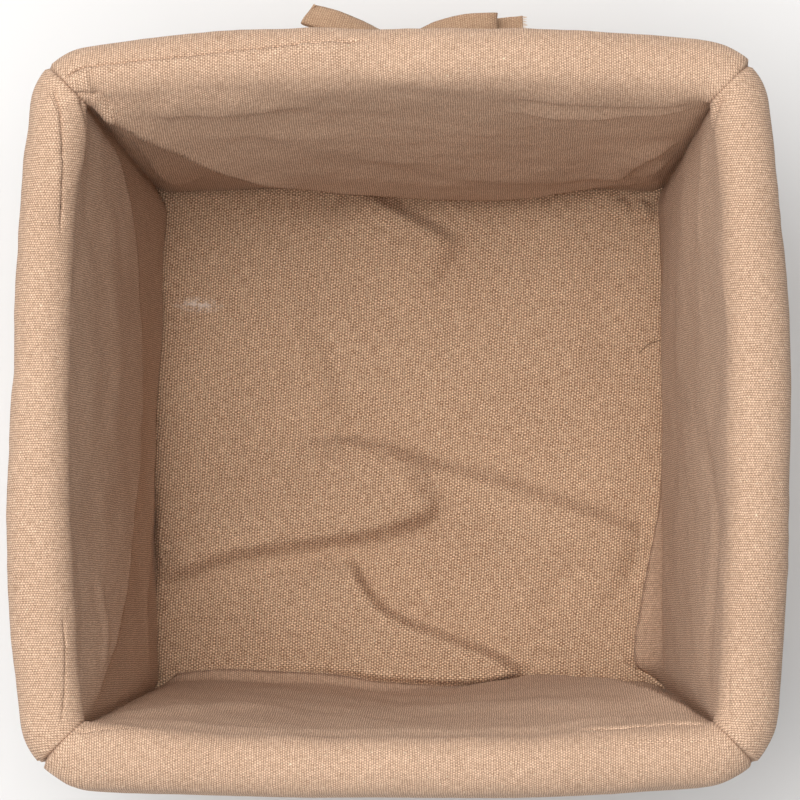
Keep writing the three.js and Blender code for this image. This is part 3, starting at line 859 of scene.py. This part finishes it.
def make_foam(name):
    """Foam tube round the rim's wire, with an uneven skin."""
    side = SIDES.index(name)
    at = np.linspace(-1, 1, 81)[None, :]
    outer = np.linspace(0, 2 * math.pi, 29)
    offset = FOAM_RADIUS * np.cos(outer)[:, None]
    height = ROLL_HEIGHT + FOAM_RADIUS * np.sin(outer)[:, None]
    s, out = side_point(at, offset, np.clip(height / ROLL_HEIGHT, 0, 1))
    points = place(side, s, out, height)
    skin = wave_noise(s, outer[:, None] * FOAM_RADIUS, 0.012, 60 + side) * 0.12 * MM - 0.15 * MM
    skin[-1] = skin[0]
    points = points + surface_normals(points) * skin[..., None]
    inner = points[::-1].copy()
    centre = place(side, *side_point(at, np.zeros((29, 1)), 1.0), ROLL_HEIGHT)
    inner = centre + unit(inner - centre) * (WIRE_RADIUS + WIRE_GAP)
    ring = np.vstack([points, inner, points[:1]])
    piece = grid_piece(f"rim_{name}_foam", ring, None, FOAM_MATERIAL, "shell", f"rim_foam_{name}",
                       closed=True)


def band_points(spans, offset, heights):
    """Points of a band at one offset that runs through spans of (side, positions along it)."""
    columns = []
    for side, at in spans:
        share = np.clip(heights / ROLL_HEIGHT, 0, 1)[:, None]
        s, out = side_point(at[None, :], offset, share)
        columns.append(place(side, s, out, heights[:, None]))
    return np.concatenate(columns, axis=1)


def tape(name, spans, heights, seed, stands_for, closed=False):
    """A tape sewn flat on the shell, with soft edges and a little unevenness."""
    points = band_points(spans, COVER_OFFSET + CANVAS / 2 + TAPE / 2 + 0.5 * MM, heights)
    run = run_along(points[len(points) // 2])
    u, v = run[None, :], heights[:, None]
    rise = wave_noise(u, v, 0.02, seed) * 0.12 * MM + 0.15 * MM
    points = points - surface_normals(points) * rise[..., None]
    piece = grid_piece(name, points, (u, v), BINDING_MATERIAL, "shell", stands_for, TAPE, closed)
    return piece, points, run[-1]


def make_corner_tape(side):
    nearby = (side + 1) % 4
    label = f"{SIDES[side]}_{SIDES[nearby]}"
    reach = 0.22 * SIDE_SHARE
    spans = [(side, np.linspace(1 - reach, 1, 14)), (nearby, np.linspace(-1, reach - 1, 14)[1:])]
    heights = np.linspace(TAPE_TOP_OF_BASE + 0.3 * MM, ROLL_HEIGHT - COVER_RADIUS - 1.5 * MM, 80)
    piece, points, width = tape(f"corner_{label}_tape", spans, heights, 70 + side, f"corner_binding_{label}")
    for edge, column in (("first", 2), ("second", -3)):
        stitches(f"corner_{label}_{edge}_stitching", points[:, column], TAPE * 0.7, "shell")


def make_base_tape():
    spans = [(side, np.linspace(-1, 1, 61)[:-1]) for side in (0, 1, 2, 3)]
    spans.append((0, np.array([-1.0])))
    heights = np.linspace(TAPE_BOTTOM, TAPE_TOP_OF_BASE, 8)
    piece, points, length = tape("base_edge_tape", spans, heights, 80, "base_binding", closed=True)
    stitches("base_edge_stitching", points[-2], TAPE * 0.7, "shell")


def make_base_cloth(name, offset, bottom, stands_for, seed, unevenness):
    """A canvas sheet across the base."""
    s, out = side_point(np.linspace(-1, 1, 61), offset, bottom / ROLL_HEIGHT)
    points, u, v = patch(*(place(side, s, out, bottom + CANVAS / 2) for side in range(4)))
    x, y = points[..., 0], points[..., 1]
    slack = wave_noise(x, y, 0.06, seed) * unevenness * off_edges(u, v, 0.05)
    points[..., 2] = bottom + CANVAS / 2 + slack
    piece = grid_piece(name, points, (x, y), SHELL_MATERIAL, "shell", stands_for, CANVAS)


def make_shell():
    for name in SIDES:
        make_foam(name)
        stitches(f"shell_{name}_rim_stitching", make_cover(name), CANVAS * 0.55, "shell")
    for side in range(4):
        make_corner_tape(side)
    make_base_tape()
    make_base_cloth("base_cover_canvas", COVER_OFFSET + CANVAS / 2, 0.0, "base_cover", 90, 0.0)
    make_base_cloth("base_lining_canvas", BASE_INSIDE, BASE_LINING_BOTTOM, "base_lining", 91, 0.15 * MM)
    # The boards and the wire stay as the CAD has them
    for node in [f"side_board_{name}" for name in SIDES] + ["base_board", "rim_wire"]:
        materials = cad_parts[node].data.materials
        materials.clear()
        materials.append(WIRE_MATERIAL if node == "rim_wire" else BOARD_MATERIAL)


# ---- The ribbon and its bow ----
def strip(name, route, widths, turns, stands_for, count=70, cup=0.06, seed=0):
    """A strip of ribbon: route is its middle line, widths its width along it, and turns the direction that
    its width points in. cup bends it across, as cloth never lies quite flat."""
    line = spline(np.array(route) * MM, count)
    width = np.interp(np.linspace(0, 1, count), np.linspace(0, 1, len(widths)), np.array(widths) * MM)
    tangent = unit(np.gradient(line, axis=0))
    across = spline(turns, count)
    across = unit(across - tangent * np.sum(across * tangent, axis=1)[:, None])
    face = np.cross(tangent, across)
    t = np.linspace(-1, 1, STRIP_COLUMNS)
    u = run_along(line)[:, None]
    v = t[None, :] * width[:, None] / 2
    wrinkle = wave_noise(u, v, 0.012, 100 + seed) * 0.22 * MM
    bend = cup * width[:, None] * (t[None, :] ** 2)
    points = line[:, None] + across[:, None] * v[..., None] + face[:, None] * (bend + wrinkle)[..., None]
    piece = grid_piece(name, points, (u, v), RIBBON_MATERIAL, "liner", stands_for, RIBBON)
    return points


def make_drawstring():
    """The ribbon inside the hem, from one buttonhole round the bin to the other."""
    offset = CUFF_OFFSET - HEM_RADIUS
    line = []
    for side in (0, 1, 2, 3, 0):
        at = np.linspace(-1, 1, 61)[:-1]
        if side == 0:
            at = at[at > 0.16] if not line else at[at < -0.16]
        s, out = side_point(at, offset, 1.0)
        line += list(place(side, s, out, RIBBON_MIDDLE) / MM)
    knot = KNOT["width"] / 2 - 1
    out = side_point(np.zeros(1), offset, 1.0)[1][0] * DEPTH_SHARE / MM
    height = RIBBON_MIDDLE / MM
    start = [(-knot, -out - 3.2, height), (-9, -out - 2.6, height), (-14, -out - 1.2, height)]
    end = [(-x, y, z) for x, y, z in start[::-1]]
    route = np.array(start + line + end)
    strip("drawstring_cloth", route, [RIBBON_WIDTH / MM] * 2, [(0, 0, 1.0)] * 2, "drawstring_ribbon",
          count=900, cup=0.0, seed=1)


def make_knot(front):
    """The middle of the bow: ribbon wrapped round, pleated where the loops press into it."""
    turn = np.linspace(0, 2 * math.pi, 57)[None, :]
    t = np.linspace(-1, 1, 25)[:, None]
    pinch = np.sqrt(np.maximum(1 - np.abs(t) ** 4, 0.0)) * 0.55 + 0.45 * (1 - t**2)
    pleat = 1 + 0.05 * np.cos(7 * turn + 2.5 * t) + 0.035 * np.cos(13 * turn - 1.3)
    pleat = pleat + 0.05 * np.cos(9 * t + turn)
    x = t * KNOT["width"] / 2 * (1 + 0.06 * np.cos(turn))
    y = np.cos(turn) * KNOT["depth"] / 2 * pinch * pleat
    z = np.sin(turn) * KNOT["height"] / 2 * pinch * pleat
    points = np.stack([x * MM, front + y * MM, RIBBON_MIDDLE + z * MM], -1)
    uv = (x * MM, turn * 5 * MM)
    piece = grid_piece(
        "bow_knot_cloth", points, uv, RIBBON_MATERIAL, "liner", "bow_knot", closed=True
    )


def fray(name, tail, direction):
    """Loose threads at the cut end of a ribbon."""
    end = tail[-1]
    span = end[-1] - end[0]
    rng = np.random.default_rng(7)
    centres, ways = [], []
    for share in np.linspace(-0.5, 0.5, 22):
        way = direction + unit(span) * rng.normal(0, 0.35) + np.array([0, 0, 1.0]) * rng.normal(0, 0.3)
        centres.append(end.mean(axis=0) + span * share + unit(way) * rng.uniform(0.2, 1.1) * MM)
        ways.append(way)
    dashes(name, np.array(centres), np.array(ways), 3.0 * MM, 0.13 * MM, "liner")


def make_bow():
    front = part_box("bow_knot")
    make_knot((front[0].y + front[1].y) / 2)
    gathered = (0.1, -0.35, -0.93)
    loop_widths = [6.5, 9, 10, 10, 10, 10, 10, 9, 6.5]
    strip("bow_loop_right_cloth",
          [(3, -164, 178.5), (14, -166, 182), (27, -170, 183), (37, -173, 181.8), (40.3, -173.8, 180),
           (37, -172.6, 178), (26, -169, 176), (14, -165.4, 174.5), (3, -164, 175)],
          loop_widths,
          [gathered, (-0.2, -0.75, -0.6), (-0.5, -0.8, -0.3), (-0.62, -0.76, -0.2), (-0.64, -0.75, -0.16),
           (-0.6, -0.76, -0.24), (-0.45, -0.8, -0.4), (-0.2, -0.7, -0.7), gathered],
          "bow_loop_right", seed=3)
    strip("bow_loop_left_cloth",
          [(-3, -164, 178.5), (-14, -166, 182.5), (-27, -168, 184.4), (-37, -168.6, 183.4),
           (-40.5, -168.8, 181.4), (-37, -168.2, 179.4), (-26, -167, 177), (-14, -165, 174.8),
           (-3, -164, 175)],
          loop_widths,
          [(-0.1, -0.35, -0.93), (0.1, -0.78, -0.6), (0.12, -0.95, -0.25), (0.06, -0.98, -0.14),
           (0.02, -0.99, -0.1), (0.04, -0.97, -0.2), (0.1, -0.9, -0.4), (0.1, -0.7, -0.7),
           (-0.1, -0.35, -0.93)],
          "bow_loop_left", seed=4)
    tail = strip("bow_tail_left_cloth",
                 [(-2, -163, 169), (-12, -164.6, 168.4), (-24, -166, 169.6), (-38, -167.4, 172.5),
                  (-52, -168, 175.5)],
                 [7, 9.5, 10, 10, 10.4],
                 [(0, -0.2, -0.97), (0, -0.45, -0.9), (0.05, -0.75, -0.65), (0.12, -0.93, -0.36),
                  (0.2, -0.96, -0.2)],
                 "bow_tail_left", cup=0.1, seed=5)
    fray("bow_tail_left_fray", tail, unit((tail[-1] - tail[-4]).mean(axis=0)))
    tail = strip("bow_tail_right_cloth",
                 [(2, -163, 168.5), (6, -163.6, 158), (10, -162.2, 142), (14, -161.6, 122),
                  (20, -162.2, 101)],
                 [7, 9.5, 10, 10, 10.2],
                 [(0.95, -0.1, 0.1), (0.97, -0.1, 0.2), (0.98, 0.05, 0.15), (0.98, -0.1, 0.2),
                  (0.96, -0.2, 0.25)],
                 "bow_tail_right", cup=0.08, seed=6)
    fray("bow_tail_right_fray", tail, np.array([0.25, 0, -0.97]))


# ---- Camera, floor and light ----
def make_camera():
    """Almost straight above, with the bow side at the top of the picture."""
    camera = add_object("camera", bpy.data.cameras.new("camera"))
    bpy.context.scene.camera = camera
    camera.data.lens = 203
    camera.data.clip_end = 20
    eye = np.array([-0.046, 0.0995, RIM_TOP + 1.85])
    aim = np.array([-0.001, -0.0041, RIM_TOP])
    back = unit(eye - aim)
    up = unit(np.array([0, -1, 0]) - back * (back @ [0, -1, 0]))
    right = np.cross(up, back)
    rotation = Matrix([right, up, back]).transposed()
    camera.matrix_world = Matrix.Translation(eye) @ rotation.to_4x4()


def make_floor_stage():
    size = 6.0
    corners = np.array([[-size, -size, 0], [size, -size, 0], [size, size, 0], [-size, size, 0]])
    material = bpy.data.materials.new("pale_floor")
    shader = Nodes(material).shader
    shader.inputs["Base Color"].default_value = (0.7, 0.7, 0.705, 1)
    shader.inputs["Roughness"].default_value = 0.8
    floor = mesh_object("studio_floor", corners, [[0, 1, 2, 3]], material)


def area_light(name, location, size, power, colour):
    light = bpy.data.lights.new(name, "AREA")
    light.energy = power
    light.size = size
    light.color = colour
    lamp = add_object(name, light)
    lamp.location = location
    lamp.rotation_mode = "QUATERNION"
    lamp.rotation_quaternion = (Vector(location) - Vector((0, 0, 0.12))).to_track_quat("Z", "Y")


def make_light():
    scene = bpy.context.scene
    scene.view_settings.view_transform = "Standard"
    world = bpy.data.worlds.new("studio")
    scene.world = world
    world.use_nodes = True
    background = world.node_tree.nodes["Background"]
    background.inputs["Color"].default_value = (1, 1, 1, 1)
    background.inputs["Strength"].default_value = 0.3
    area_light("key", (0.7, -0.45, 2.3), 1.6, 28, (1, 0.99, 0.97))
    area_light("overhead", (0.1, -0.05, 2.6), 1.4, 37, (1, 0.99, 0.97))
    area_light("front", (0.0, -1.9, 1.2), 1.2, 10, (1, 0.98, 0.95))
    area_light("back", (0.0, 1.9, 1.2), 1.2, 9, (1, 0.98, 0.95))
    area_light("right", (1.9, 0.0, 1.2), 1.2, 8, (1, 0.98, 0.96))


make_camera()
make_liner()
make_shell()
make_drawstring()
make_bow()
make_floor_stage()
make_light()
